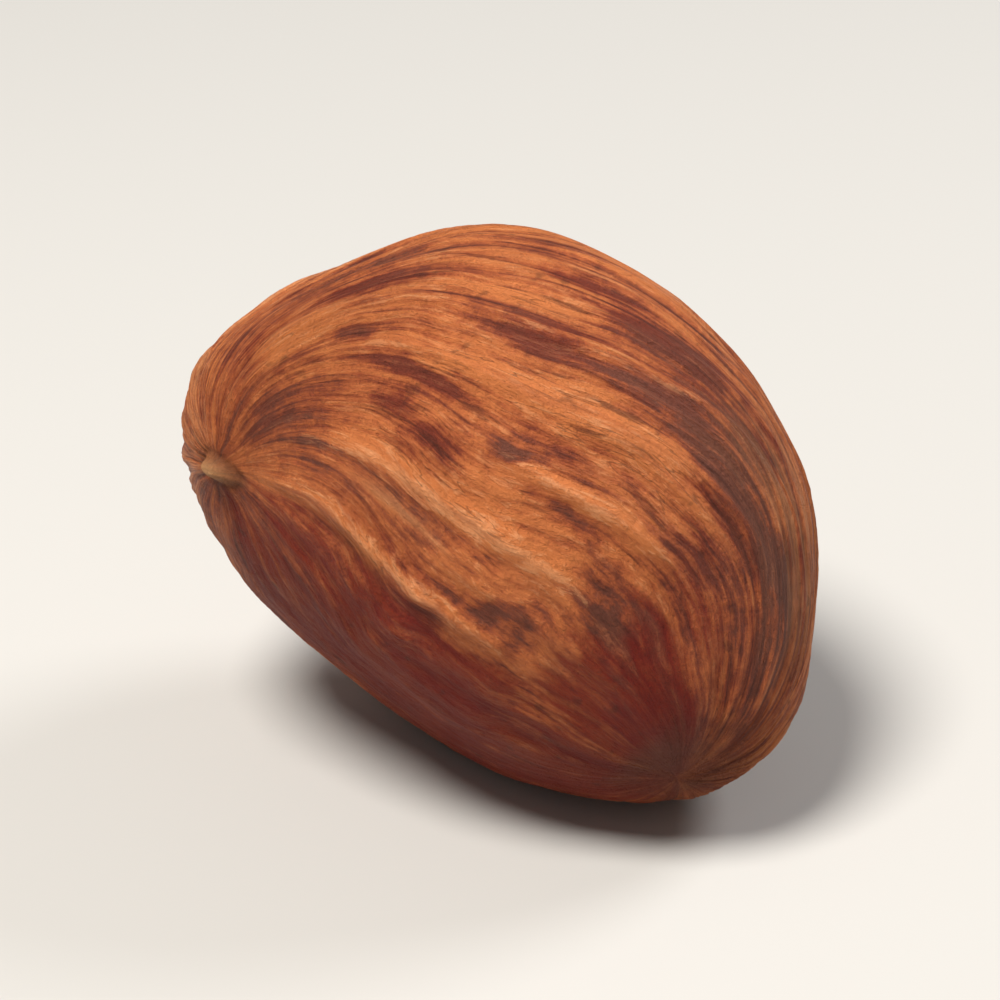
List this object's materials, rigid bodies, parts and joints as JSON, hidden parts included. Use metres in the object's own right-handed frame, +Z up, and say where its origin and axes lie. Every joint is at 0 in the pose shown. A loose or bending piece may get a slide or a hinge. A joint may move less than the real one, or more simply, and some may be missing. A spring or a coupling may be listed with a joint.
{
  "type": "hazelnut kernel",
  "caption": "Shelled roasted hazelnut kernel in its ridged brown skin, an uneven oval with a small point at one end, lying on its side.",
  "frame": {"origin": "middle of the kernel's box in X and Y, at the surface that it lies on", "axes": "+Z up from the surface, +X along the kernel's longest side with the point towards -X, and +Y away from the side that the picture shows"},
  "size_m": [0.0158, 0.0128, 0.0141],
  "materials": {
    "roasted_skin": "dry roasted seed skin, orange-brown with darker streaks along the ridges, low satin sheen"
  },
  "bodies": {
    "root": {"kernel": "roasted_skin"}
  },
  "joints": []
}
